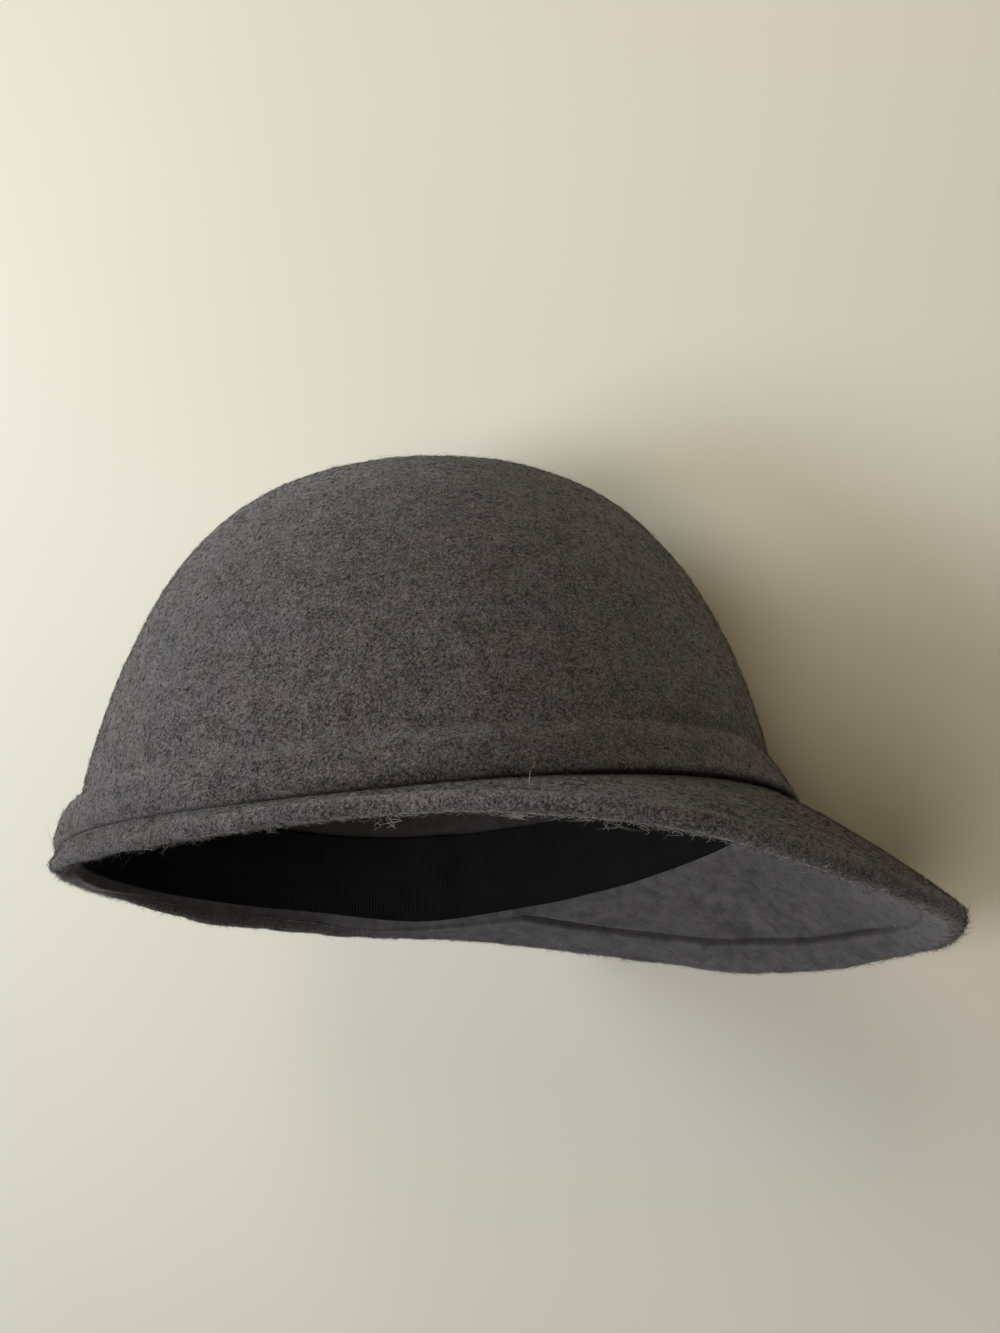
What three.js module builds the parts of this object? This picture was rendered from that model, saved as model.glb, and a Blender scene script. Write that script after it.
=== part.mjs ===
// A grey wool-felt cap-brimmed hat: a deep smooth dome with a stitched lower
// band, a brim that is a narrow rolled lip at the back and grows into a
// drooping peak at the front, and a cloth sweatband inside.
//
// The hat is drawn upright in its own frame (x to the peak, y to the wearer's
// left, z up the crown, z = 0 at the level of the fold between crown and brim)
// and then laid on its left side, as it lies by itself on a table: +Z is up
// from the table and z = 0 is the table.  Millimetres throughout.
//
// Every wall is swept round the head: a closed section in the half-plane at
// each bearing, whose sizes come from the constants and the table below.

import * as THREE from 'three';

// ---------------------------------------------------------------- sizes (mm)
const STEPS = 64;              // bearings round the head

const FELT = 2.1;              // crown wall
const BRIM_FELT = 2.1;         // one layer of the brim
const FOLD_R = 2.2;            // half the doubled felt at the brim's edge
const BAND_CLOTH = 1.0;        // sweatband
const GAP = 0.4;               // clearance between pieces

const BASE_LONG = 101.0;       // crown half-length and half-width at the seam
const BASE_WIDE = 82.8;
const BASE_POWER = 2.07;       // 2 is an ellipse, more is squarer
const SEAM_UP = 14.0;          // seam above the fold
const DOME_TOP = 117.6;        // height that the dome's sides run out to
const DOME_LEAN = -1.4;        // the top sits this far back
const CAP_AT = 0.54;           // share of the radius where the round top begins
const CAP_TOP = 121.2;         // real top of the crown

const FOLD_LONG = 107.5;       // fold line half-length and half-width
const FOLD_WIDE = 87.1;
const FOLD_POWER = 2.05;
const FOLD_WAVE = [2.65, -0.48]; // its rise and fall, twice and three times round

const FLANGE_ROWS = [1.6, 5, 8.5]; // heights of the brim's hidden flange inside the crown's band

const BAND_TALL = 27.0;        // sweatband
const BAND_LOW_WAVE = [0.03, 0.97, 4.01, 0.43]; // its lower edge, mean and 1 to 3 times round
const BAND_SAG = { at: 102, half: 17, drop: 2.2 }; // slack place low on the left, degrees and mm

// The brim's edge: bearing from the front, distance out and height of the
// middle of the turned edge, and how wide the felt is that is turned under.
// The same on both sides.
const RIM = [
  { deg: 0, out: 140.2, up: -33.9, hem: 7.0 },
  { deg: 15, out: 138.9, up: -32.9, hem: 8.6 },
  { deg: 30, out: 135.6, up: -31.9, hem: 11.6 },
  { deg: 45, out: 132.6, up: -27.7, hem: 15.0 },
  { deg: 60, out: 126.9, up: -20.2, hem: 18.0 },
  { deg: 75, out: 112.2, up: -13.7, hem: 20.5 },
  { deg: 90, out: 98.2, up: -9.9, hem: 20.0 },
  { deg: 110, out: 92.3, up: -7.8, hem: 20.0 },
  { deg: 130, out: 92.7, up: -6.2, hem: 20.0 },
  { deg: 155, out: 101.6, up: -2.5, hem: 20.0 },
  { deg: 180, out: 108.4, up: 1.4, hem: 20.0 },
];

const PEAK_ARCH = 1.8;         // how far the peak's middle is domed upwards

// How the dome's side curves, and how much of the band's swell is one short
// step at the seam: front, side and back.
const SIDES = [
  { deg: 0, rise: 1.63, shoulder: 3.58, step: 0.10 },
  { deg: 90, rise: 1.52, shoulder: 3.70, step: 0.35 },
  { deg: 180, rise: 1.24, shoulder: 4.00, step: 0.60 },
];

// How it lies by itself: on the left side of the crown and the left corner of
// the peak, with the felt pressed flat where it meets the table.
const LAY_TILT = 30.42;        // degrees that the crown axis dips past level
const LAY_TURN = 16.0;         // degrees that the peak dips towards the table
const REST_DROP = 99.2;        // table below the hat's own origin
const BASE_SHIFT = [-18.34, -21.19]; // puts the footprint's middle on the origin

// ------------------------------------------------------------------ helpers
const rad = (d) => (d * Math.PI) / 180;
const clamp01 = (v) => Math.min(1, Math.max(0, v));
const smooth = (v) => { const t = clamp01(v); return t * t * (3 - 2 * t); };

// Smooth reading of a table column at a bearing, level at front and back.
function track(table, column, theta) {
  let d = Math.abs((theta * 180) / Math.PI) % 360;
  if (d > 180) d = 360 - d;
  let i = 0;
  while (i < table.length - 2 && d > table[i + 1].deg) i += 1;
  const slope = (k) => {
    if (k === 0 || k === table.length - 1) return 0;
    const h0 = table[k].deg - table[k - 1].deg;
    const h1 = table[k + 1].deg - table[k].deg;
    const s0 = (table[k][column] - table[k - 1][column]) / h0;
    const s1 = (table[k + 1][column] - table[k][column]) / h1;
    return (s0 * h1 + s1 * h0) / (h0 + h1);
  };
  const a = table[i];
  const b = table[i + 1];
  const h = b.deg - a.deg;
  const t = (d - a.deg) / h;
  const t2 = t * t;
  const t3 = t2 * t;
  return (2 * t3 - 3 * t2 + 1) * a[column] + (t3 - 2 * t2 + t) * h * slope(i)
    + (-2 * t3 + 3 * t2) * b[column] + (t3 - t2) * h * slope(i + 1);
}

// Distance out to a rounded oval at a bearing.
function oval(theta, long, wide, power) {
  const c = Math.abs(Math.cos(theta)) / long;
  const s = Math.abs(Math.sin(theta)) / wide;
  return (c ** power + s ** power) ** (-1 / power);
}

const foldOut = (theta) => oval(theta, FOLD_LONG, FOLD_WIDE, FOLD_POWER);
const foldUp = (theta) => FOLD_WAVE[0] * Math.cos(2 * theta) + FOLD_WAVE[1] * Math.cos(3 * theta);
const seamOut = (theta) => oval(theta, BASE_LONG, BASE_WIDE, BASE_POWER);

// ------------------------------------------------------------ crown outside
// s runs 0..1 up the band to the seam, 1..2 up the dome's side, 2..3 over the
// round top.  Gives [out, up] in the half-plane at theta.
function crownOutside(theta, s) {
  const base = seamOut(theta);
  const lift = foldUp(theta);
  if (s < 1) {
    const step = track(SIDES, 'step', theta);
    const swell = foldOut(theta) + 0.4 - base;
    const edge = smooth((s - 0.74) / 0.3);
    const share = (1 - step) * (1 - s) + step * (1 - edge);
    return [base + swell * share, lift + SEAM_UP * s];
  }
  const rise = track(SIDES, 'rise', theta);
  const shoulder = track(SIDES, 'shoulder', theta);
  const height = DOME_TOP - SEAM_UP;
  const tCap = (1 - CAP_AT ** shoulder) ** (1 / rise);
  const zAt = (t) => SEAM_UP + height * t + lift * (1 - t);
  if (s < 2) {
    const t = (s - 1) * tCap;
    return [base * (1 - t ** rise) ** (1 / shoulder), zAt(t)];
  }
  // the top: a bowl-shaped curve that leaves the side at its own slope
  const outC = base * CAP_AT;
  const zC = zAt(tCap);
  const fall = ((height - lift) / base) * (shoulder / rise) * CAP_AT ** (shoulder - 1)
    * (1 - CAP_AT ** shoulder) ** (1 / rise - 1);
  const drop = CAP_TOP - zC;
  const power = (fall * outC) / drop;
  const k = 3 - s;
  return [outC * k, CAP_TOP - drop * k ** power];
}

// The same point moved in by a wall thickness, square to the wall.
function crownAt(theta, s, inward) {
  const p = crownOutside(theta, s);
  if (inward === 0) return p;
  if (s >= 3) return [0, p[1] - inward];
  const e = 0.04;
  const a = crownOutside(theta, Math.max(0, s - e));
  const b = crownOutside(theta, Math.min(3, s + e));
  const dx = b[0] - a[0];
  const dz = b[1] - a[1];
  const len = Math.hypot(dx, dz);
  return [p[0] - (inward * dz) / len, p[1] + (inward * dx) / len];
}

// Rows of the crown's wall, outside from the top down and inside back up.
const OUTER_ROWS = [3, 2.8, 2.6, 2.4, 2.2, 2, 1.93, 1.84, 1.74, 1.64, 1.54, 1.44, 1.34, 1.25, 1.16,
  1.08, 1.02, 0.95, 0.86, 0.76, 0.6, 0.4, 0.24, 0.12];
const INNER_ROWS = [0.2, 0.5, 0.75, 1.04, 1.16, 1.3, 1.44, 1.58, 1.72, 1.84, 1.93, 2, 2.25, 2.5, 2.75, 3];

// Distance out of the crown's inner face at a height above the fold.
function crownInsideOut(theta, up) {
  const z = up + foldUp(theta);
  let low = crownAt(theta, INNER_ROWS[0], FELT);
  if (z <= low[1]) return low[0];
  for (const s of INNER_ROWS.slice(1)) {
    const high = crownAt(theta, s, FELT);
    if (z <= high[1]) return low[0] + ((high[0] - low[0]) * (z - low[1])) / (high[1] - low[1]);
    low = high;
  }
  return low[0];
}

const lean = (z) => DOME_LEAN * clamp01((z - SEAM_UP) / (CAP_TOP - SEAM_UP));

// -------------------------------------------------------- pressed where it rests
// The table's direction, seen from the upright hat.
const down = new THREE.Vector3(
  Math.sin(rad(LAY_TURN)),
  Math.cos(rad(LAY_TURN)) * Math.cos(rad(LAY_TILT)),
  Math.cos(rad(LAY_TURN)) * Math.sin(rad(LAY_TILT)),
);

// How far a point of the upright hat would sink past the table.
const sunk = (p) => Math.max(0, p.dot(down) - REST_DROP);

// ------------------------------------------------------------------ sweeping
const point = (theta, [out, up]) => new THREE.Vector3(
  out * Math.cos(theta) + lean(up),
  out * Math.sin(theta),
  up,
);

// Sweeps a closed section round the head.  section(theta) gives a loop of
// { at: [out, up], give: [out, up] }; give is the outer point that sets how far
// the felt there is pushed in by the table.
function sweep(section, steps) {
  const rings = [];
  for (let i = 0; i < steps; i += 1) {
    const theta = (i / steps) * 2 * Math.PI;
    rings.push(section(theta).map(({ at, give }) => {
      const p = point(theta, at);
      const q = give ? point(theta, give) : p;
      return p.addScaledVector(down, -Math.max(sunk(q), sunk(p)));
    }));
  }
  const n = rings[0].length;
  const positions = [];
  rings.forEach((ring) => ring.forEach((p) => positions.push(p.x, p.y, p.z)));
  const index = [];
  for (let i = 0; i < steps; i += 1) {
    const j = (i + 1) % steps;
    for (let k = 0; k < n; k += 1) {
      const m = (k + 1) % n;
      const a = i * n + k;
      const b = j * n + k;
      const c = j * n + m;
      const d = i * n + m;
      index.push(a, c, b, a, d, c);
    }
  }
  const g = new THREE.BufferGeometry();
  g.setAttribute('position', new THREE.Float32BufferAttribute(positions, 3));
  g.setIndex(index);
  return g;
}

// Sweeps an open section whose first and last points are on the axis, so the
// two ends close as poles.
function sweepDome(section, steps) {
  const rings = [];
  for (let i = 0; i < steps; i += 1) {
    const theta = (i / steps) * 2 * Math.PI;
    rings.push(section(theta).map(({ at, give }) => {
      const p = point(theta, at);
      const q = give ? point(theta, give) : p;
      return p.addScaledVector(down, -Math.max(sunk(q), sunk(p)));
    }));
  }
  const n = rings[0].length;
  const positions = [];
  const first = rings[0][0];
  const last = rings[0][n - 1];
  positions.push(first.x, first.y, first.z, last.x, last.y, last.z);
  const id = (i, k) => 2 + i * (n - 2) + (k - 1);
  rings.forEach((ring) => ring.slice(1, n - 1).forEach((p) => positions.push(p.x, p.y, p.z)));
  const index = [];
  for (let i = 0; i < steps; i += 1) {
    const j = (i + 1) % steps;
    index.push(0, id(i, 1), id(j, 1));
    for (let k = 1; k < n - 2; k += 1) {
      index.push(id(i, k), id(i, k + 1), id(j, k + 1), id(i, k), id(j, k + 1), id(j, k));
    }
    index.push(id(i, n - 2), 1, id(j, n - 2));
  }
  const g = new THREE.BufferGeometry();
  g.setAttribute('position', new THREE.Float32BufferAttribute(positions, 3));
  g.setIndex(index);
  return g;
}

// --------------------------------------------------------------------- crown
function crownSection(theta) {
  const loop = OUTER_ROWS.map((s) => ({ at: crownAt(theta, s, 0) }));
  // rounded lower edge of the band
  const [out] = crownAt(theta, 0.08, 0);
  const z = foldUp(theta);
  loop.push({ at: [out - 0.35, z + 0.6] });
  loop.push({ at: [out - 1.1, z + 0.32] });
  loop.push({ at: [out - 1.75, z + 0.7] });
  INNER_ROWS.forEach((s) => loop.push({ at: crownAt(theta, s, FELT), give: crownAt(theta, s, 0) }));
  return loop;
}

// ---------------------------------------------------------------------- brim
// Distance out of the flange's outer face, straight between its rows.
function flangeOut(theta, up) {
  const [low, mid, high] = FLANGE_ROWS;
  const out = (h) => crownInsideOut(theta, h) - GAP;
  if (up <= low) return out(low);
  if (up >= high) return out(high);
  const [a, b] = up < mid ? [low, mid] : [mid, high];
  return out(a) + ((out(b) - out(a)) * (up - a)) / (b - a);
}

function brimSection(theta) {
  const z = foldUp(theta);
  const fold = foldOut(theta);
  const c = [track(RIM, 'out', theta), track(RIM, 'up', theta)];
  const root = [fold - 1.3, z - 0.5];
  // direction of the brim from its root to the middle of its edge
  const below = [root[0] - BRIM_FELT * 0.4, root[1] - BRIM_FELT * 0.4];
  let d = [c[0] - below[0], c[1] - below[1]];
  const reach = Math.hypot(d[0], d[1]);
  d = [d[0] / reach, d[1] / reach];
  const up = [-d[1], d[0]];                    // square to the brim, outwards
  const top = [c[0] + up[0] * FOLD_R, c[1] + up[1] * FOLD_R];
  const loop = [
    { at: [flangeOut(theta, FLANGE_ROWS[2]), z + FLANGE_ROWS[2]] },
    { at: [flangeOut(theta, FLANGE_ROWS[1]), z + FLANGE_ROWS[1]] },
    { at: [flangeOut(theta, FLANGE_ROWS[0]), z + FLANGE_ROWS[0]] },
    { at: [fold - 2.1, z - 0.3] },
    { at: root },
  ];
  const arch = PEAK_ARCH * Math.max(0, Math.cos(theta)) ** 2;
  const between = (from, to, k) => [
    from[0] + (to[0] - from[0]) * k,
    from[1] + (to[1] - from[1]) * k + arch * 4 * k * (1 - k),
  ];
  for (const k of [0.25, 0.5, 0.75, 0.93]) loop.push({ at: between(root, top, k) });
  for (const a of [90, 55, 20, -20, -55, -90]) {
    const ca = Math.cos(rad(a)) * FOLD_R;
    const sa = Math.sin(rad(a)) * FOLD_R;
    loop.push({ at: [c[0] + d[0] * ca + up[0] * sa, c[1] + d[1] * ca + up[1] * sa], give: a < 0 ? [c[0] + d[0] * FOLD_R, c[1] + d[1] * FOLD_R] : null });
  }
  // underside: the hem, its inner edge, then the single layer back to the flange
  const hem = Math.min(track(RIM, 'hem', theta), Math.max(reach - 4.5, reach * 0.45));
  const wide = smooth((reach - hem - 3) / 3);  // how much of the hem's edge shows
  const under = (back, thick) => [
    c[0] - d[0] * back - up[0] * (thick - FOLD_R),
    c[1] - d[1] * back - up[1] * (thick - FOLD_R),
  ];
  const inner = [flangeOut(theta, FLANGE_ROWS[0]) - BRIM_FELT, z + 1.2];
  const hemEnd = under(hem, 2 * FOLD_R);
  const stepUp = under(hem + 0.9, 2 * FOLD_R - (2 * FOLD_R - BRIM_FELT) * wide);
  loop.push({ at: under(hem * 0.5, 2 * FOLD_R), give: [c[0], c[1]] });
  loop.push({ at: hemEnd });
  loop.push({ at: stepUp });
  for (const k of [0.35, 0.7]) loop.push({ at: between(stepUp, inner, k) });
  loop.push({ at: inner });
  loop.push({ at: [flangeOut(theta, FLANGE_ROWS[1]) - BRIM_FELT, z + FLANGE_ROWS[1]] });
  loop.push({ at: [flangeOut(theta, FLANGE_ROWS[2]) - BRIM_FELT, z + FLANGE_ROWS[2]] });
  return loop;
}

// ----------------------------------------------------------------- sweatband
// Its outer face lies against the flange, then against the crown.
function bandOut(theta, up) {
  const onFlange = flangeOut(theta, up) - BRIM_FELT;
  if (up <= FLANGE_ROWS[2]) return onFlange - GAP;
  const onCrown = [up - 1, up, up + 1, up + 3].map((h) => crownInsideOut(theta, h));
  return Math.min(onFlange, ...onCrown) - GAP;
}

function sweatbandSection(theta) {
  const z = foldUp(theta);
  let lowUp = -z;
  BAND_LOW_WAVE.forEach((w, k) => { lowUp += w * Math.cos(k * theta); });
  const off = ((theta * 180) / Math.PI - BAND_SAG.at) / BAND_SAG.half;
  lowUp -= BAND_SAG.drop * Math.exp(-off * off);
  const heights = [lowUp, Math.max(lowUp + 0.8, FLANGE_ROWS[0]), FLANGE_ROWS[1], FLANGE_ROWS[2], SEAM_UP + 0.5, BAND_TALL];
  const loop = [];
  heights.slice().reverse().forEach((h) => loop.push({ at: [bandOut(theta, h), z + h] }));
  heights.forEach((h) => loop.push({ at: [bandOut(theta, h) - BAND_CLOTH, z + h] }));
  return loop;
}

// ------------------------------------------------------------------ assembly
const feltMaterial = (color) => new THREE.MeshStandardMaterial({ color, roughness: 0.95, metalness: 0 });

const crown = new THREE.Mesh(sweepDome(crownSection, STEPS), feltMaterial(0x6f6a69));
crown.name = 'crown';
const brim = new THREE.Mesh(sweep(brimSection, STEPS), feltMaterial(0x6a6665));
brim.name = 'brim';
const sweatband = new THREE.Mesh(sweep(sweatbandSection, STEPS), new THREE.MeshStandardMaterial({ color: 0x17171a, roughness: 0.85, metalness: 0 }));
sweatband.name = 'sweatband';

const upright = new THREE.Group();
upright.rotation.x = -rad(90 + LAY_TILT);
upright.add(crown, brim, sweatband);

const laid = new THREE.Group();
laid.rotation.y = rad(LAY_TURN);
laid.position.set(BASE_SHIFT[0], BASE_SHIFT[1], REST_DROP);
laid.add(upright);

const hat = new THREE.Group();
hat.add(laid);

export default hat;
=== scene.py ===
# The looks of a grey wool-felt hat with a peak that lies on its side on a pale
# surface.  Sizes are in millimetres in the upright hat's own frame (x to the
# peak, y to the wearer's left, z up the crown), and are laid and turned into
# metres in the row frame at the end, as the solids are.
import math

import bpy
import numpy as np
from mathutils import Matrix, Vector


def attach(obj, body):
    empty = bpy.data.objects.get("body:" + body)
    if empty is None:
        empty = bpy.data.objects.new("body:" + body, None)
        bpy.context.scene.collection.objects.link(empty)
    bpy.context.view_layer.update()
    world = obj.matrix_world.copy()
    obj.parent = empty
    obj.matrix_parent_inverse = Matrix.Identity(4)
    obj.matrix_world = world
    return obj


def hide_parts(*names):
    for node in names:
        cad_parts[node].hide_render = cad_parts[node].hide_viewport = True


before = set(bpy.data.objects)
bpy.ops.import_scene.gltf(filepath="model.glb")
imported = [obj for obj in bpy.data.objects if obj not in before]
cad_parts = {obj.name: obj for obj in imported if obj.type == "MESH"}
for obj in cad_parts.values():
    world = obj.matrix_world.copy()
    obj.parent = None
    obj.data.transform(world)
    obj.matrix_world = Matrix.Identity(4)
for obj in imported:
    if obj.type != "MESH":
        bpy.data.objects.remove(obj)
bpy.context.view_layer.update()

# ------------------------------------------------------------------- sizes (mm)
FELT = 2.1
BRIM_FELT = 2.1
FOLD_R = 2.2
BAND_CLOTH = 0.9
GAP = 0.4

BASE_LONG, BASE_WIDE, BASE_POWER = 101.0, 82.8, 2.07
SEAM_UP = 14.0
DOME_TOP = 117.6
DOME_LEAN = -1.4
CAP_AT = 0.54
CAP_TOP = 121.2

FOLD_LONG, FOLD_WIDE, FOLD_POWER = 107.5, 87.1, 2.05
FOLD_WAVE = (2.65, -0.48)

FLANGE_ROWS = (1.6, 5.0, 8.5)

BAND_TALL = 27.0
BAND_LOW_WAVE = (0.03, 0.97, 4.01, 0.43)
BAND_SAG = {"at": 102, "half": 17, "drop": 2.2}

# the brim's edge: bearing, distance out, height and how wide the hem is
RIM = [
    {"deg": 0, "out": 140.2, "up": -33.9, "hem": 7.0},
    {"deg": 15, "out": 138.9, "up": -32.9, "hem": 8.6},
    {"deg": 30, "out": 135.6, "up": -31.9, "hem": 11.6},
    {"deg": 45, "out": 132.6, "up": -27.7, "hem": 15.0},
    {"deg": 60, "out": 126.9, "up": -20.2, "hem": 18.0},
    {"deg": 75, "out": 112.2, "up": -13.7, "hem": 20.5},
    {"deg": 90, "out": 98.2, "up": -9.9, "hem": 20.0},
    {"deg": 110, "out": 92.3, "up": -7.8, "hem": 20.0},
    {"deg": 130, "out": 92.7, "up": -6.2, "hem": 20.0},
    {"deg": 155, "out": 101.6, "up": -2.5, "hem": 20.0},
    {"deg": 180, "out": 108.4, "up": 1.4, "hem": 20.0},
]
PEAK_ARCH = 1.8

SIDES = [
    {"deg": 0, "rise": 1.63, "shoulder": 3.58, "step": 0.10},
    {"deg": 90, "rise": 1.52, "shoulder": 3.70, "step": 0.35},
    {"deg": 180, "rise": 1.24, "shoulder": 4.00, "step": 0.60},
]

LAY_TILT, LAY_TURN = 30.42, 16.0
REST_DROP = 99.2
BASE_SHIFT = (-18.34, -21.19)

STEPS = 300          # bearings round the head
MM = 0.001
TAU = 2 * math.pi


# ------------------------------------------------------------------ the lay
def rot_x(a):
    c, s = math.cos(a), math.sin(a)
    return np.array([[1, 0, 0], [0, c, -s], [0, s, c]])


def rot_y(a):
    c, s = math.cos(a), math.sin(a)
    return np.array([[c, 0, s], [0, 1, 0], [-s, 0, c]])


def rot_z(a):
    c, s = math.cos(a), math.sin(a)
    return np.array([[c, -s, 0], [s, c, 0], [0, 0, 1]])


LAY = rot_y(math.radians(LAY_TURN)) @ rot_x(-math.radians(90 + LAY_TILT))
SHIFT = np.array([BASE_SHIFT[0], BASE_SHIFT[1], REST_DROP])
DOWN = -LAY[2]       # the table's direction, seen from the upright hat


def to_row(p):
    """Points of the upright hat, in mm, to the row frame, in metres."""
    return (np.asarray(p) @ LAY.T + SHIFT) * MM


# ------------------------------------------------------------------ helpers
def smooth(v):
    t = np.clip(v, 0.0, 1.0)
    return t * t * (3 - 2 * t)


def track(table, column, theta):
    """Smooth reading of a table column at the bearings theta."""
    d = np.abs(np.degrees(theta)) % 360
    d = np.where(d > 180, 360 - d, d)
    deg = np.array([row["deg"] for row in table], float)
    val = np.array([row[column] for row in table], float)
    h = np.diff(deg)
    s = np.diff(val) / h
    slope = np.zeros_like(val)
    slope[1:-1] = (s[:-1] * h[1:] + s[1:] * h[:-1]) / (h[:-1] + h[1:])
    i = np.clip(np.searchsorted(deg, d, side="left") - 1, 0, len(deg) - 2)
    t = (d - deg[i]) / h[i]
    t2, t3 = t * t, t * t * t
    return (
        (2 * t3 - 3 * t2 + 1) * val[i]
        + (t3 - 2 * t2 + t) * h[i] * slope[i]
        + (-2 * t3 + 3 * t2) * val[i + 1]
        + (t3 - t2) * h[i] * slope[i + 1]
    )


def oval(theta, long, wide, power):
    c = np.abs(np.cos(theta)) / long
    s = np.abs(np.sin(theta)) / wide
    return (c**power + s**power) ** (-1 / power)


def fold_out(theta):
    return oval(theta, FOLD_LONG, FOLD_WIDE, FOLD_POWER)


def fold_up(theta):
    return FOLD_WAVE[0] * np.cos(2 * theta) + FOLD_WAVE[1] * np.cos(3 * theta)


def seam_out(theta):
    return oval(theta, BASE_LONG, BASE_WIDE, BASE_POWER)


def unevenness(p, seed):
    """Smooth noise from -1 to 1 at the points p, one bump to a unit."""
    p = np.asarray(p, float)
    cell = np.floor(p).astype(np.int64)
    f = p - cell
    u = f * f * (3 - 2 * f)

    def at(dx, dy, dz):
        h = (
            (cell[..., 0] + dx) * 374761393
            + (cell[..., 1] + dy) * 668265263
            + (cell[..., 2] + dz) * 2147483647
            + seed * 974711
        ) & 0xFFFFFFFF
        h = ((h ^ (h >> 13)) * 1274126177) & 0xFFFFFFFF
        h = ((h ^ (h >> 16)) * 2246822519) & 0xFFFFFFFF
        h = h ^ (h >> 15)
        return (h & 0xFFFFFF) / float(0xFFFFFF) * 2 - 1

    def mix(a, b, t):
        return a + (b - a) * t

    x00 = mix(at(0, 0, 0), at(1, 0, 0), u[..., 0])
    x10 = mix(at(0, 1, 0), at(1, 1, 0), u[..., 0])
    x01 = mix(at(0, 0, 1), at(1, 0, 1), u[..., 0])
    x11 = mix(at(0, 1, 1), at(1, 1, 1), u[..., 0])
    return mix(mix(x00, x10, u[..., 1]), mix(x01, x11, u[..., 1]), u[..., 2])


def felt_swell(p):
    """How far the felt's face stands off its true curve, in mm."""
    return (
        0.30 * unevenness(p / 31.0, 11)
        + 0.16 * unevenness(p / 12.0, 12)
        + 0.07 * unevenness(p / 4.2, 13)
        + 0.045 * unevenness(p / 1.9, 14)
    )


# ------------------------------------------------------------ crown outside
def crown_outside(theta, s):
    """(out, up) of the crown's outside: s 0 to 1 up the band, 1 to 2 up the side, 2 to 3 over the top."""
    base, lift = seam_out(theta), fold_up(theta)
    if s < 1:
        step = track(SIDES, "step", theta)
        swell = fold_out(theta) + 0.4 - base
        edge = smooth((s - 0.66) / 0.40)
        share = (1 - step) * (1 - s) + step * (1 - edge)
        return base + swell * share, lift + SEAM_UP * s
    rise = track(SIDES, "rise", theta)
    shoulder = track(SIDES, "shoulder", theta)
    height = DOME_TOP - SEAM_UP
    t_cap = (1 - CAP_AT**shoulder) ** (1 / rise)
    if s < 2:
        t = (s - 1) * t_cap
        return base * (1 - t**rise) ** (1 / shoulder), SEAM_UP + height * t + lift * (1 - t)
    out_c = base * CAP_AT
    z_c = SEAM_UP + height * t_cap + lift * (1 - t_cap)
    fall = (
        ((height - lift) / base)
        * (shoulder / rise)
        * CAP_AT ** (shoulder - 1)
        * (1 - CAP_AT**shoulder) ** (1 / rise - 1)
    )
    drop = CAP_TOP - z_c
    k = 3 - s
    return out_c * k, CAP_TOP - drop * k ** (fall * out_c / drop)


def crown_at(theta, s, inward):
    out, up = crown_outside(theta, s)
    if inward == 0:
        return out, up
    if s >= 3:
        return 0 * out, up - inward
    ax, az = crown_outside(theta, max(0.0, s - 0.04))
    bx, bz = crown_outside(theta, min(3.0, s + 0.04))
    dx, dz = bx - ax, bz - az
    length = np.hypot(dx, dz)
    return out - inward * dz / length, up + inward * dx / length


INNER_ROWS = [0.2, 0.5, 0.75, 1.04, 1.16, 1.3, 1.44, 1.58, 1.72, 1.84, 1.93, 2, 2.25, 2.5, 2.75, 3]


def crown_inside_out(theta, up):
    """Distance out of the crown's inner face at a height above the fold."""
    z = up + fold_up(theta)
    rows = [crown_at(theta, s, FELT) for s in INNER_ROWS[:8]]
    out = rows[0][0] + 0 * theta
    for low, high in zip(rows, rows[1:]):
        k = (z - low[1]) / (high[1] - low[1])
        out = np.where((k >= 0), low[0] + (high[0] - low[0]) * np.clip(k, 0, 1), out)
    return out


def place(theta, out, up):
    """Points of the upright hat at bearings theta."""
    lean = DOME_LEAN * np.clip((up - SEAM_UP) / (CAP_TOP - SEAM_UP), 0, 1)
    return np.stack([out * np.cos(theta) + lean, out * np.sin(theta), up + 0 * theta], -1)


def sunk(p):
    return np.maximum(0, p @ DOWN - REST_DROP)


def grid_normals(p, closed):
    """Normals of a grid of points [bearing, row], pointing out of a body whose rows run outside first."""
    along = np.roll(p, -1, 0) - np.roll(p, 1, 0)
    if closed:
        down = np.roll(p, -1, 1) - np.roll(p, 1, 1)
    else:
        down = np.gradient(p, axis=1)
    n = np.cross(down, along)
    return n / np.maximum(np.linalg.norm(n, axis=-1, keepdims=True), 1e-9)


# ------------------------------------------------------------------ meshes
def make_object(name, verts, faces, attributes=None):
    mesh = bpy.data.meshes.new(name)
    faces = np.asarray(faces, np.int32)
    n, m = faces.shape
    mesh.vertices.add(len(verts))
    mesh.vertices.foreach_set("co", np.asarray(verts, np.float32).ravel())
    mesh.loops.add(n * m)
    mesh.loops.foreach_set("vertex_index", faces.ravel())
    mesh.polygons.add(n)
    mesh.polygons.foreach_set("loop_start", np.arange(0, n * m, m, dtype=np.int32))
    mesh.polygons.foreach_set("loop_total", np.full(n, m, np.int32))
    mesh.polygons.foreach_set("use_smooth", np.ones(n, bool))
    for key, values in (attributes or {}).items():
        layer = mesh.attributes.new(key, "FLOAT", "POINT")
        layer.data.foreach_set("value", np.asarray(values, np.float32).ravel())
    mesh.update(calc_edges=True)
    mesh.validate()
    obj = bpy.data.objects.new(name, mesh)
    bpy.context.scene.collection.objects.link(obj)
    return obj


def ring_faces(n, m):
    """Triangles of a grid that closes both ways, as the solids are wound."""
    i = np.arange(n)[:, None]
    k = np.arange(m)[None, :]
    j, q = (i + 1) % n, (k + 1) % m
    a, b, c, d = i * m + k, j * m + k, j * m + q, i * m + q
    return np.concatenate(
        [np.stack([a, c, b], -1).reshape(-1, 3), np.stack([a, d, c], -1).reshape(-1, 3)]
    )


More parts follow.
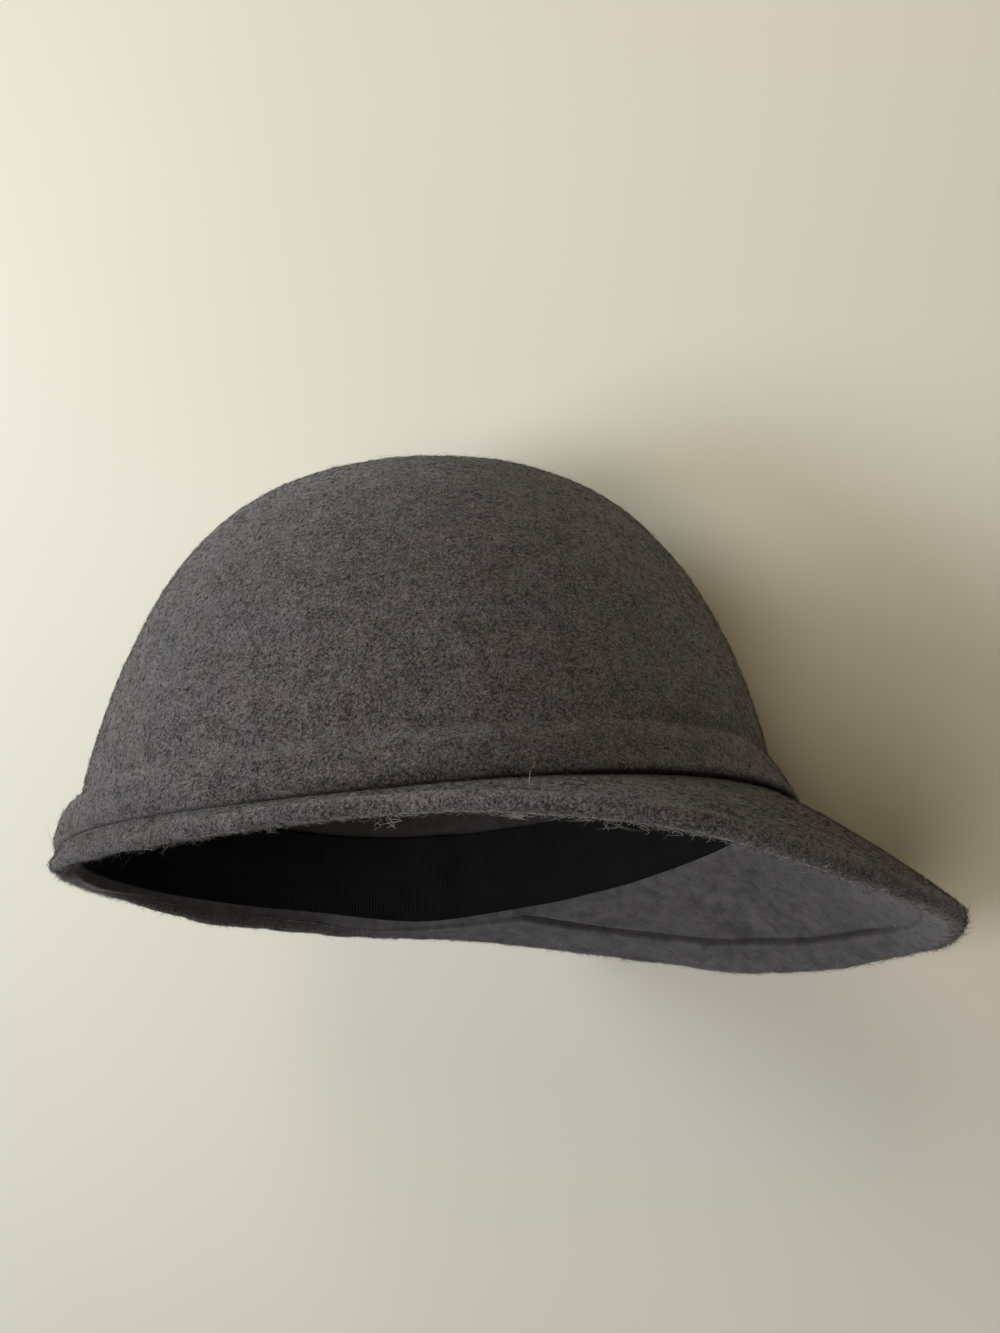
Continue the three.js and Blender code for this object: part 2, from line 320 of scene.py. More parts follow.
def dome_faces(n, m):
    """Triangles of a grid of m rows whose first and last rows are poles; vertices 0 and 1 are the poles."""
    i = np.arange(n)
    j = (i + 1) % n

    def at(r, k):
        return 2 + r * (m - 2) + (k - 1)

    top = np.stack([0 * i, at(i, 1), at(j, 1)], -1)
    low = np.stack([at(i, m - 2), 0 * i + 1, at(j, m - 2)], -1)
    k = np.arange(1, m - 2)[None, :]
    i, j = i[:, None], j[:, None]
    t1 = np.stack([at(i, k), at(i, k + 1), at(j, k + 1)], -1).reshape(-1, 3)
    t2 = np.stack([at(i, k), at(j, k + 1), at(j, k)], -1).reshape(-1, 3)
    return np.concatenate([top, low, t1, t2])


def dome_vertices(grid):
    return np.concatenate([grid[0, :1], grid[0, -1:], grid[:, 1:-1].reshape(-1, grid.shape[-1])])


theta = np.arange(STEPS) / STEPS * TAU
BEARING = np.degrees(np.minimum(theta, TAU - theta))
# the seam between crown and brim: nearly closed at the back, open in front; how much painted shade lies in the seam,
# in the soft valley over it and on the brim's upper face beside it, and how far that last reaches, round the head
FRONT = np.interp(BEARING, [0, 44, 52, 62, 72, 90, 135, 150], [1.0, 1.0, 0.90, 0.60, 0.38, 0.26, 0.24, 0.10])
VALLEY_SHADE = np.interp(BEARING, [0, 62, 78, 90, 132, 150, 172], [0.0, 0.0, 0.55, 1.0, 1.0, 0.55, 0.10])
HOLLOW_SHADE = np.interp(BEARING, [0, 40, 60, 72, 90, 132, 150, 172], [0.45, 0.62, 0.68, 0.56, 0.42, 0.34, 0.22, 0.06])
HOLLOW_REACH = np.interp(BEARING, [0, 50, 66, 90, 180], [6.5, 7.5, 6.2, 4.0, 2.4])
CLOSED = smooth(np.interp(BEARING, [0, 50, 75, 95, 180], [0.0, 0.0, 0.75, 1.0, 1.0]))


# --------------------------------------------------------------------- crown
def build_crown():
    outer = np.concatenate(
        [
            np.linspace(3, 2, 27)[:-1],
            np.linspace(2, 1.12, 52)[:-1],
            np.linspace(1.12, 0.70, 30)[:-1],
            np.linspace(0.70, 0.12, 16),
        ]
    )
    inner = np.concatenate([np.linspace(0.2, 1.04, 9), np.linspace(1.04, 2, 26)[1:], np.linspace(2, 3, 14)[1:]])
    at, give, face, groove_shade, inside = [], [], [], [], []
    for s in outer:
        out, up = crown_at(theta, s, 0)
        # the stitched top of the band: a fine crease with a slight roll under it
        crease = 0.14 * np.exp(-(((s - 1.01) / 0.024) ** 2)) * (0.06 + 0.94 * smooth((np.cos(theta) - 0.25) / 0.6))
        out = out - crease
        # where the seam is closed the band's foot is rounded over, so that only a soft valley is left
        out = out - 0.75 * CLOSED * max(0.0, 1 - (s - 0.10) / 0.15) ** 2
        out = out + 0.9 * smooth((BEARING - 150) / 25) * max(0.0, 1 - ((s - 0.35) / 0.35) ** 2)
        at.append(place(theta, out, up))
        face.append(1.0)
        inside.append(0.0)
        # painted shade: dark in the open seam, soft in the valley where it is closed, and a thin line along the band's
        # crease
        near = 0.30 * smooth(np.clip(1 - (s - 0.10) / 0.085, 0, 1)) * FRONT
        valley = 0.12 * math.exp(-(((s - 0.10) / 0.15) ** 2)) * VALLEY_SHADE
        groove_shade.append(np.maximum(np.maximum(near, valley), 1.8 * crease))
    out, _ = crown_at(theta, 0.08, 0)
    out = out - 0.75 * CLOSED
    z = fold_up(theta)
    for dx, dz in ((0.10, 0.95), (0.35, 0.6), (0.7, 0.4), (1.1, 0.32), (1.45, 0.42), (1.75, 0.7)):
        at.append(place(theta, out - dx, z + dz))
        face.append(0.3)
        inside.append(0.0)
        # painted shade in the gap under the band's foot
        groove_shade.append((0.20 if dx < 0.6 else 0.60) * FRONT)
    give = list(at)
    for s in inner:
        at.append(place(theta, *crown_at(theta, s, FELT)))
        give.append(place(theta, *crown_at(theta, s, 0)))
        face.append(0.0)
        inside.append(1.0)
        # painted shade on the crown's inner face, less towards its top
        groove_shade.append(0.70 * smooth((s - 0.3) / 0.6) * (1 - 0.8 * smooth((s - 1.7) / 0.5)) + 0.0 * theta)
    at, give = np.stack(at, 1), np.stack(give, 1)
    normal = grid_normals(at, False)
    normal[:, 0] = (0, 0, 1)
    normal[:, -1] = (0, 0, -1)
    swell = felt_swell(at)
    low = at[..., 2] - fold_up(theta)[:, None]
    mask = np.array(face)[None, :] * smooth((low - 1.2) / 4.0)
    mask_in = np.array(inside)[None, :] * smooth((low - 10) / 8) * 0.6
    at = at + normal * (swell * (mask + mask_in))[..., None]
    press = np.maximum(sunk(give + normal * (swell * mask)[..., None]), sunk(at))
    at = at - DOWN * press[..., None]
    groove_shade = np.stack([g + 0 * theta for g in groove_shade], 1)
    inside = np.tile(np.array(inside), (STEPS, 1))
    edge = np.zeros_like(groove_shade)
    verts = dome_vertices(at)
    return {
        "verts": verts,
        "faces": dome_faces(STEPS, at.shape[1]),
        "normals": dome_vertices(normal),
        "groove_shade": dome_vertices(groove_shade[..., None])[:, 0],
        "under": dome_vertices(inside[..., None])[:, 0],
        "edge": dome_vertices(edge[..., None])[:, 0],
        "nap": dome_vertices((1 - inside)[..., None])[:, 0],
    }


# ---------------------------------------------------------------------- brim
def flange_out(th, up):
    low, mid, high = (crown_inside_out(th, h) - GAP for h in FLANGE_ROWS)
    up = up + 0 * th
    k1 = np.clip((up - FLANGE_ROWS[0]) / (FLANGE_ROWS[1] - FLANGE_ROWS[0]), 0, 1)
    k2 = np.clip((up - FLANGE_ROWS[1]) / (FLANGE_ROWS[2] - FLANGE_ROWS[1]), 0, 1)
    return low + (mid - low) * k1 + (high - mid) * k2


def edge_wobble(th, seed, size):
    """Unevenness along the brim's edge, the same at a full turn."""
    ring = np.stack([np.cos(th) * 100 / size, np.sin(th) * 100 / size, 0 * th + seed * 3.7], -1)
    return unevenness(ring, seed)


def build_brim():
    z = fold_up(theta)
    fold = fold_out(theta)
    jag = 0.42 * edge_wobble(theta, 21, 17.0) + 0.26 * edge_wobble(theta, 22, 6.0) + 0.13 * edge_wobble(theta, 23, 2.6)
    c = np.stack([track(RIM, "out", theta), track(RIM, "up", theta)], -1)
    root = np.stack([fold - 1.3, z - 0.5], -1)
    below = root - BRIM_FELT * 0.4
    root = root + np.stack([-0.10 * CLOSED, 0.36 * CLOSED], -1)
    d = c - below
    reach = np.linalg.norm(d, axis=-1)
    d = d / reach[:, None]
    up = np.stack([-d[:, 1], d[:, 0]], -1)
    c = c + d * (jag - 1.1 * smooth((BEARING - 150) / 25))[:, None]
    top = c + up * FOLD_R
    rows, gives, edges, groove_shades, unders, shows = [], [], [], [], [], []

    def add(p, give=None, edge=0.0, groove_shade=0.0, under=0.0, show=1.0):
        rows.append(p)
        gives.append(p if give is None else give)
        for store, v in ((edges, edge), (groove_shades, groove_shade), (unders, under), (shows, show)):
            store.append(v + 0 * theta)

    def pair(x, y):
        return np.stack([x + 0 * theta, y + 0 * theta], -1)

    high, mid, low = FLANGE_ROWS[2], FLANGE_ROWS[1], FLANGE_ROWS[0]
    add(pair(flange_out(theta, high), z + high), show=0)
    add(pair(flange_out(theta, mid), z + mid), show=0)
    add(pair(flange_out(theta, low), z + low), show=0)
    # painted shade in the seam's gap at the brim's root
    add(pair(fold - 2.1, z - 0.3 + 0.3 * CLOSED), groove_shade=FRONT, show=0)
    add(root, groove_shade=0.60 * FRONT, show=0.2)
    arch = PEAK_ARCH * np.maximum(0, np.cos(theta)) ** 2

    def between(a, b, k):
        q = a + (b - a) * k
        return q + np.stack([0 * theta, arch * 4 * k * (1 - k)], -1)

    # painted shade on the brim's upper face: a narrow dark line at the open seam and a wider shade beside it
    for k in np.concatenate([[0.025, 0.06, 0.1], np.linspace(0.14, 0.97, 22)]):
        dist = k * reach
        valley = HOLLOW_SHADE * np.exp(-((dist / HOLLOW_REACH) ** 1.6))
        add(between(root, top, k), groove_shade=np.maximum(0.55 * smooth(1 - dist / 1.3) * FRONT, valley))
    tip = c + d * FOLD_R
    for a in (90, 72, 54, 36, 18, 0, -18, -36, -54, -72, -90):
        ca, sa = math.cos(math.radians(a)) * FOLD_R, math.sin(math.radians(a)) * FOLD_R
        add(c + d * ca + up * sa, give=tip if a < 0 else None, edge=math.exp(-(((a + 66) / 24.0) ** 2)), under=float(a < -60))
    hem = np.minimum(track(RIM, "hem", theta), np.maximum(reach - 4.5, reach * 0.45))
    wide = smooth((reach - hem - 3) / 3)
    fray = 0.28 * edge_wobble(theta, 31, 9.0) + 0.12 * edge_wobble(theta, 32, 3.0)

    def under_at(back, thick):
        return c - d * np.asarray(back + 0 * theta)[:, None] - up * np.asarray(thick - FOLD_R + 0 * theta)[:, None]

    inner = pair(flange_out(theta, low) - BRIM_FELT, z + 1.2)
    full = 2 * FOLD_R
    for k in np.linspace(0.06, 0.93, 13):
        add(under_at(hem * k, full), give=c if k < 0.3 else None, edge=0.35 * smooth(1 - k * hem / 1.2), under=1.0)
    lip = hem + fray * wide
    add(under_at(lip - 0.35, full + 0.04 * wide), under=1.0)
    # painted shadow along the hem's step on the brim's underside
    line = wide * (0.16 + 0.84 * smooth((BEARING - 2) / 12))
    add(under_at(lip, full - 0.18 * wide), under=1.0, groove_shade=0.16 * line)
    drop = (full - BRIM_FELT) * (0.35 + 0.65 * smooth((BEARING - 2) / 14)) * wide
    add(under_at(lip + 0.20, full - 0.50 * drop), under=1.0, groove_shade=0.50 * line)
    add(under_at(lip + 0.42, full - 1.06 * drop), under=1.0, groove_shade=0.74 * line)
    add(under_at(lip + 0.90, full - 1.10 * drop), under=1.0, groove_shade=0.50 * line)
    step_up = under_at(lip + 1.5, full - drop)
    add(step_up, under=1.0, groove_shade=0.08 * line)
    for k in np.linspace(0.06, 0.94, 15):
        add(between(step_up, inner, k), under=1.0)
    add(inner, under=1.0, show=0.2)
    add(pair(flange_out(theta, mid) - BRIM_FELT, z + mid), under=1.0, show=0)
    add(pair(flange_out(theta, high) - BRIM_FELT, z + high), under=1.0, show=0)

    at = np.stack([place(theta, r[:, 0], r[:, 1]) for r in rows], 1)
    give = np.stack([place(theta, r[:, 0], r[:, 1]) for r in gives], 1)
    normal = grid_normals(at, True)
    show, edge, groove_shade, under = (np.stack(v, 1) for v in (shows, edges, groove_shades, unders))
    mask = show * (1 - np.clip(groove_shade, 0, 1)) * smooth((show - 0.3) / 0.4)
    moved = normal * (felt_swell(at + 57.0) * 0.85 * mask)[..., None]
    at, give = at + moved, give + moved
    press = np.maximum(sunk(give), sunk(at))
    at = at - DOWN * press[..., None]
    flat = at.reshape(-1, 3)
    return {
        "verts": flat,
        "faces": ring_faces(STEPS, at.shape[1]),
        "normals": normal.reshape(-1, 3),
        "groove_shade": groove_shade.ravel(),
        "under": under.ravel(),
        "edge": edge.ravel(),
        "nap": show.ravel(),
    }


# ----------------------------------------------------------------- sweatband
def band_out(th, up):
    on_flange = flange_out(th, up) - BRIM_FELT
    on_crown = np.minimum.reduce([crown_inside_out(th, up + h) for h in (-1, 0, 1, 3)])
    out = np.minimum(on_flange, on_crown) - GAP
    return np.where(up <= FLANGE_ROWS[2], on_flange - GAP, out)


def build_band():
    z = fold_up(theta)
    low = -z
    for k, w in enumerate(BAND_LOW_WAVE):
        low = low + w * np.cos(k * theta)
    deg = np.degrees(theta)
    low = low - BAND_SAG["drop"] * np.exp(-(((deg - BAND_SAG["at"]) / BAND_SAG["half"]) ** 2))
    low = low + 0.18 * edge_wobble(theta, 41, 13.0)
    share = np.concatenate([[0, 0.012, 0.04], np.linspace(0.09, 0.91, 15), [0.96, 0.988, 1.0]])
    # soft upright ripples where the cloth isn't held
    folds = (
        0.55 * edge_wobble(theta, 42, 19.0)
        + 0.35 * edge_wobble(theta, 43, 9.0)
        + 0.5 * np.exp(-(((deg - 97) / 3.2) ** 2))
        + 0.55 * np.exp(-(((deg - 84) / 2.6) ** 2))
    )
    outer, inner = [], []
    for k in share:
        h = low + (BAND_TALL - low) * k
        slack = np.maximum(0, 0.45 + folds) * smooth(k / 0.25) * (0.55 + 0.45 * k)
        out = band_out(theta, h) - slack
        hem = 0.16 * (1 - min(1, min(k, 1 - k) / 0.1))      # turned edges are a little thicker
        outer.append(place(theta, out, z + h))
        inner.append(place(theta, out - BAND_CLOTH - hem, z + h))
    at = np.stack(outer[::-1] + inner, 1)
    at = at - DOWN * sunk(at)[..., None]
    normal = grid_normals(at, True)
    return {"verts": at.reshape(-1, 3), "faces": ring_faces(STEPS, at.shape[1]), "normals": normal.reshape(-1, 3)}


# ----------------------------------------------------------------- loose fibres
def fibres(name, part, count, seed, length, width, lift, material, weight, curl=0.35, tone=(0.0, 1.0), rings=2):
    """Short closed curved fibres that grow out of a felt face."""
    rng = np.random.default_rng(seed)
    v, f, n = part["verts"], part["faces"], part["normals"]
    tri = v[f]
    cross = np.cross(tri[:, 1] - tri[:, 0], tri[:, 2] - tri[:, 0])
    area = np.linalg.norm(cross, axis=1) / 2
    chance = area * part["nap"][f].min(1) * (1 - np.clip(part["groove_shade"][f].max(1), 0, 1) * 0.8)
    chance = chance * weight(part, f, tri.mean(1))
    chance = chance / chance.sum()
    pick = rng.choice(len(f), count, p=chance)
    r1, r2 = np.sqrt(rng.random(count)), rng.random(count)
    b = np.stack([1 - r1, r1 * (1 - r2), r1 * r2], -1)
    p = (tri[pick] * b[..., None]).sum(1)
    face_n = cross[pick] / np.maximum(np.linalg.norm(cross[pick], axis=1, keepdims=True), 1e-12)
    # a random heading in the face, and the sideways direction
    any_v = rng.normal(size=(count, 3))
    t = any_v - face_n * (any_v * face_n).sum(1, keepdims=True)
    t /= np.linalg.norm(t, axis=1, keepdims=True)
    side = np.cross(face_n, t)
    long = length[0] + (length[1] - length[0]) * rng.random(count) ** 1.6
    rise = np.radians(lift[0] + (lift[1] - lift[0]) * rng.random(count) ** 2.0)
    bend = curl * rng.normal(size=count)
    fat = width[0] + (width[1] - width[0]) * rng.random(count)

    def along(k, droop):
        go = long * k
        return (
            p
            + t * (go * np.cos(rise))[:, None]
            + face_n * (go * np.sin(rise) * (1 - droop * k))[:, None]
            + side * (bend * go * k)[:, None]
        )

    tail = p - face_n * 0.12
    end = along(1.0, 0.45)
    if rings == 2:
        middles = ((along(0.33, 0.25) + face_n * 0.04, 1.0), (along(0.70, 0.35), 0.85))
    elif rings == 1:
        middles = ((along(0.46, 0.30) + face_n * 0.05, 1.0),)
    else:
        middles = ((p, 1.0),)          # a bare spike that stands on the face
    ring = []
    for centre, size in middles:
        for a in (90, 210, 330):
            ca, sa = math.cos(math.radians(a)), math.sin(math.radians(a))
            across = face_n if rings else t
            ring.append(centre + (side * ca + across * sa) * (fat * size / 2)[:, None])
    if rings:
        pts = np.stack([tail, *ring, end], 1)
        shape = [(0, 2, 1), (0, 3, 2), (0, 1, 3)]
        if rings == 2:
            shape += [(1, 2, 5), (1, 5, 4), (2, 3, 6), (2, 6, 5), (3, 1, 4), (3, 4, 6)]
        k = 3 * rings - 2
        shape += [(k, k + 1, k + 3), (k + 1, k + 2, k + 3), (k + 2, k, k + 3)]
    else:
        pts = np.stack([*ring, end], 1)
        shape = [(0, 1, 2), (0, 3, 1), (1, 3, 2), (2, 3, 0)]
    pts = pts - DOWN * sunk(pts)[..., None]
    n_pts = pts.shape[1]
    base = (np.arange(count) * n_pts)[:, None, None]
    faces = (np.array(shape)[None] + base).reshape(-1, 3)
    tones = np.repeat(tone[0] + (tone[1] - tone[0]) * rng.random(count) ** 1.4, n_pts)
    obj = make_object(name, to_row(pts.reshape(-1, 3)), faces, {"tone": tones})
    obj.data.materials.append(material)
    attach(obj, "root")
    return obj


# ------------------------------------------------------------------ materials
class Nodes:
    """A small help for writing node trees."""

    def __init__(self, name):
        self.mat = bpy.data.materials.new(name)
        self.mat.use_nodes = True
        self.tree = self.mat.node_tree
        self.tree.nodes.clear()

    def new(self, kind, **props):
        node = self.tree.nodes.new(kind)
        for key, value in props.items():
            setattr(node, key, value)
        return node

    def set(self, node, **sockets):
        for key, value in sockets.items():
            node.inputs[key.replace("_", " ")].default_value = value
        return node

    def link(self, a, b):
        self.tree.links.new(a, b)

    def mm(self):
        coord = self.new("ShaderNodeTexCoord")
        scale = self.new("ShaderNodeVectorMath", operation="SCALE")
        scale.inputs["Scale"].default_value = 1000.0
        self.link(coord.outputs["Object"], scale.inputs[0])
        return scale.outputs[0]

    def noise(self, where, scale, detail=3.0, rough=0.55, distort=0.0, kind="FBM", shift=0.0):
        if shift:
            add = self.new("ShaderNodeVectorMath", operation="ADD")
            add.inputs[1].default_value = (shift, shift * 0.7, -shift)
            self.link(where, add.inputs[0])
            where = add.outputs[0]
        n = self.new("ShaderNodeTexNoise", noise_dimensions="3D", noise_type=kind)
        n.inputs["Scale"].default_value = scale
        n.inputs["Detail"].default_value = detail
        n.inputs["Roughness"].default_value = rough
        n.inputs["Distortion"].default_value = distort
        self.link(where, n.inputs["Vector"])
        return n.outputs["Fac"]

    def remap(self, value, a, b, c=0.0, d=1.0):
        m = self.new("ShaderNodeMapRange", clamp=True)
        m.inputs["From Min"].default_value = a
        m.inputs["From Max"].default_value = b
        m.inputs["To Min"].default_value = c
        m.inputs["To Max"].default_value = d
        self.link(value, m.inputs["Value"])
        return m.outputs["Result"]

    def mix(self, factor, a, b, blend="MIX"):
        m = self.new("ShaderNodeMix", data_type="RGBA", blend_type=blend)
        for socket, value in ((m.inputs[0], factor), (m.inputs[6], a), (m.inputs[7], b)):
            if hasattr(value, "links") or hasattr(value, "is_linked"):
                self.link(value, socket)
            elif isinstance(value, (int, float)):
                socket.default_value = value
            else:
                socket.default_value = (*value, 1.0)
        return m.outputs[2]

    def math(self, op, a, b):
        m = self.new("ShaderNodeMath", operation=op)
        for socket, value in ((m.inputs[0], a), (m.inputs[1], b)):
            if isinstance(value, (int, float)):
                socket.default_value = value
            else:
                self.link(value, socket)
        return m.outputs[0]

    def strands(self, where, scale, half, shift):
        """Short thin curly lines: where a twisted noise passes its middle value."""
        field = self.noise(where, scale, 1.0, 0.5, 1.6, shift=shift)
        off = self.math("ABSOLUTE", self.math("SUBTRACT", field, 0.5), 0.0)
        line = self.remap(off, 0.0, half, 1.0, 0.0)
        broken = self.noise(where, scale * 1.3, 1.0, 0.5, 0.0, shift=shift + 17.0)
        return self.math("MULTIPLY", line, self.remap(broken, 0.44, 0.58))

    def attribute(self, name):
        return self.new("ShaderNodeAttribute", attribute_name=name).outputs["Fac"]


def felt_material():
    n = Nodes("felt")
    where = n.mm()
    mottle = n.noise(where, 1.28, 2.0, 0.60, 0.8)
    grain = n.noise(where, 2.05, 2.0, 0.60, 0.3, shift=61.0)
    clumps = n.noise(where, 0.17, 3.0, 0.60, 0.4, shift=83.0)
    clouds = n.noise(where, 0.030, 2.0, 0.5, 0.3, shift=7.0)
    tint_a = n.noise(where, 0.060, 3.0, 0.6, 0.4, shift=47.0)
    tint_b = n.noise(where, 0.085, 3.0, 0.6, 0.4, shift=113.0)
    tint_c = n.noise(where, 0.11, 3.0, 0.6, 0.4, shift=171.0)
    pale = n.strands(where, 0.80, 0.032, 31.0)
    pale_b = n.strands(where, 1.25, 0.040, 203.0)
    dark = n.strands(where, 0.95, 0.034, 139.0)
    under = n.attribute("under")
    still = n.math("SUBTRACT", 1.0, n.math("MULTIPLY", under, 0.84))      # the underside is smoother

    # how light the felt is at a point, about 1 on the whole
    rough = n.math("SUBTRACT", n.remap(mottle, 0.38, 0.62, -0.55, 0.58), n.remap(grain, 0.36, 0.64, 0.55, -0.55))
    threads = n.math("SUBTRACT", n.math("ADD", n.math("MULTIPLY", pale, 0.62), n.math("MULTIPLY", pale_b, 0.70)), n.math("MULTIPLY", dark, 0.30))
    spot = n.new("ShaderNodeSeparateXYZ")
    n.link(where, spot.inputs[0])
    brushed = n.remap(spot.outputs[0], -118.0, -25.0, 0.46, 1.0)      # brushed flatter at the back
    fine = n.math("MULTIPLY", n.math("MULTIPLY", n.math("ADD", rough, threads), still), brushed)
    level = n.math("ADD", n.math("ADD", fine, n.math("ADD", n.math("MULTIPLY", n.remap(clumps, 0.36, 0.64, -0.23, 0.23), brushed), 0.98)), n.remap(clouds, 0.35, 0.65, -0.07, 0.07))
    blot = n.noise(where, 0.22, 3.0, 0.55, 0.5, shift=231.0)
    level = n.math("ADD", level, n.math("MULTIPLY", under, n.remap(blot, 0.34, 0.66, -0.16, 0.16)))
    level = n.math("MAXIMUM", level, 0.10)

    tone = n.mix(n.remap(tint_a, 0.44, 0.60, 0.0, 0.75), (0.0790, 0.0710, 0.0800), (0.0890, 0.0680, 0.0770))
    tone = n.mix(n.remap(tint_b, 0.50, 0.66, 0.0, 0.62), tone, (0.0760, 0.0715, 0.0640))
    tone = n.mix(n.remap(tint_c, 0.50, 0.66, 0.0, 0.60), tone, (0.0725, 0.0690, 0.0850))
    # cooler on the underside, and paler there as painted light from below
    tone = n.mix(n.math("MULTIPLY", under, 0.85), tone, (0.0935, 0.0880, 0.0975))
    lit = n.new("ShaderNodeVectorMath", operation="SCALE")
    n.link(tone, lit.inputs[0])
    n.link(level, lit.inputs["Scale"])
    colour = lit.outputs[0]
    # paler rubbed edge; painted shade in the seam, along the band's crease, along the hem's step and inside the crown
    edge = n.math("MULTIPLY", n.attribute("edge"), n.remap(mottle, 0.44, 0.60, 0.0, 0.52))
    colour = n.mix(edge, colour, (0.20, 0.192, 0.185))
    groove_shade = n.math("MULTIPLY", n.attribute("groove_shade"), 0.9)
    colour = n.mix(groove_shade, colour, (0.020, 0.0155, 0.0135))

    relief = n.math("ADD", n.math("MULTIPLY", mottle, 1.3), n.math("ADD", n.math("MULTIPLY", grain, 0.35), n.math("MULTIPLY", clumps, 0.8)))
    relief = n.math("ADD", relief, n.math("MULTIPLY", n.math("ADD", pale, pale_b), 0.16))
    soft = n.math("SUBTRACT", 1.0, n.math("MULTIPLY", under, 0.6))
    bump = n.new("ShaderNodeBump")
    bump.inputs["Strength"].default_value = 0.75
    bump.inputs["Distance"].default_value = 0.00042
    n.link(n.math("MULTIPLY", relief, soft), bump.inputs["Height"])

    shader = n.new("ShaderNodeBsdfPrincipled")
    shader.inputs["Roughness"].default_value = 1.0
    shader.inputs["Specular IOR Level"].default_value = 0.12
    # the soft shine of the nap, taken away where the painted shade lies so that it stays dark
    n.link(n.math("MULTIPLY", n.math("SUBTRACT", 1.0, n.math("MINIMUM", n.attribute("groove_shade"), 1.0)), 0.30), shader.inputs["Sheen Weight"])
    shader.inputs["Sheen Roughness"].default_value = 0.50
    shader.inputs["Sheen Tint"].default_value = (0.86, 0.86, 0.90, 1.0)
    n.link(colour, shader.inputs["Base Color"])
    n.link(bump.outputs["Normal"], shader.inputs["Normal"])
    out = n.new("ShaderNodeOutputMaterial")
    n.link(shader.outputs[0], out.inputs["Surface"])
    return n.mat


def fibre_material(name, dark, light):
    n = Nodes(name)
    tone = n.attribute("tone")
    colour = n.mix(tone, dark, light)
    shader = n.new("ShaderNodeBsdfPrincipled")
    shader.inputs["Roughness"].default_value = 0.8
    shader.inputs["Specular IOR Level"].default_value = 0.25
    n.link(colour, shader.inputs["Base Color"])
    out = n.new("ShaderNodeOutputMaterial")
    n.link(shader.outputs[0], out.inputs["Surface"])
    return n.mat


def band_material():
    n = Nodes("band_cloth")
    where = n.mm()
    weave = n.noise(where, 2.6, 2.0, 0.6, 0.2)
    blotch = n.noise(where, 0.12, 3.0, 0.5, 0.3, shift=19.0)
    ribs = n.attribute("rib")
    wave = n.new("ShaderNodeMath", operation="SINE")
    n.link(ribs, wave.inputs[0])
    colour = n.mix(n.remap(blotch, 0.3, 0.7), (0.0080, 0.0082, 0.0084), (0.0112, 0.0114, 0.0119))
    colour = n.mix(n.remap(wave.outputs[0], -1.0, 1.0, 0.0, 0.06), colour, (0.016, 0.016, 0.017))
    height = n.math("ADD", n.math("MULTIPLY", wave.outputs[0], 0.5), n.math("MULTIPLY", weave, 0.6))
    bump = n.new("ShaderNodeBump")
    bump.inputs["Strength"].default_value = 0.7
    bump.inputs["Distance"].default_value = 0.00022
    n.link(height, bump.inputs["Height"])
    shader = n.new("ShaderNodeBsdfPrincipled")
    shader.inputs["Roughness"].default_value = 0.9
    shader.inputs["Specular IOR Level"].default_value = 0.06
    n.link(colour, shader.inputs["Base Color"])
    n.link(bump.outputs["Normal"], shader.inputs["Normal"])
    out = n.new("ShaderNodeOutputMaterial")
    n.link(shader.outputs[0], out.inputs["Surface"])
    return n.mat


# -------------------------------------------------------------------- pieces
felt = felt_material()

crown = build_crown()
crown_obj = make_object(
    "crown_felt",
    to_row(crown["verts"]),
    crown["faces"],
    {k: crown[k] for k in ("groove_shade", "under", "edge")},
)
crown_obj.data.materials.append(felt)
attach(crown_obj, "root")
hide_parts("crown")

brim = build_brim()
brim_obj = make_object(
    "brim_felt",
    to_row(brim["verts"]),
    brim["faces"],
    {k: brim[k] for k in ("groove_shade", "under", "edge")},
)
brim_obj.data.materials.append(felt)
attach(brim_obj, "root")
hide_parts("brim")

RIBS = 520           # fine upright ribs round the band
band = build_band()
rows = len(band["verts"]) // STEPS
band_obj = make_object(
    "sweatband_cloth",
    to_row(band["verts"]),
    band["faces"],
    {"rib": np.repeat(theta * RIBS, rows)},
)
band_obj.data.materials.append(band_material())
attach(band_obj, "root")
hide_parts("sweatband")

fibre = fibre_material("loose_fibre", (0.012, 0.011, 0.011), (0.165, 0.158, 0.155))
edge_fibre = fibre_material("edge_fibre", (0.10, 0.095, 0.09), (0.40, 0.385, 0.37))


def even(part, f, centre):
    """The same all over the felt's outer face."""
    return np.ones(len(f))


def off_hem(part, f, centre):
    """Fewer on the brim's smooth underside."""
    return 1.0 - 0.93 * part["under"][f].mean(1)


def on_edge(part, f, centre):
    """Only along the brim's turned edge."""
    return part["edge"][f].mean(1) ** 1.5


for i, letter in enumerate("ab"):
    fibres(f"crown_nap_{letter}", crown, 22000, 100 + i, (0.9, 2.6), (0.10, 0.20), (1, 24), fibre, even, curl=0.5, rings=1)
fibres("crown_fuzz", crown, 40000, 120, (0.7, 2.3), (0.07, 0.11), (28, 84), fibre, even, curl=0.5, tone=(0.2, 1.0), rings=0)
fibres("crown_curls", crown, 7000, 110, (1.4, 3.8), (0.06, 0.10), (4, 50), fibre, even, curl=0.8, tone=(0.45, 1.0))
fibres("brim_nap", brim, 16000, 200, (0.9, 2.6), (0.10, 0.20), (1, 26), fibre, off_hem, curl=0.6, rings=1)
fibres("brim_fuzz", brim, 20000, 220, (0.7, 2.1), (0.07, 0.11), (28, 84), fibre, off_hem, curl=0.5, tone=(0.2, 1.0), rings=0)
fibres("brim_edge_nap", brim, 7000, 210, (0.7, 2.4), (0.06, 0.11), (4, 60), edge_fibre, on_edge, curl=1.1)


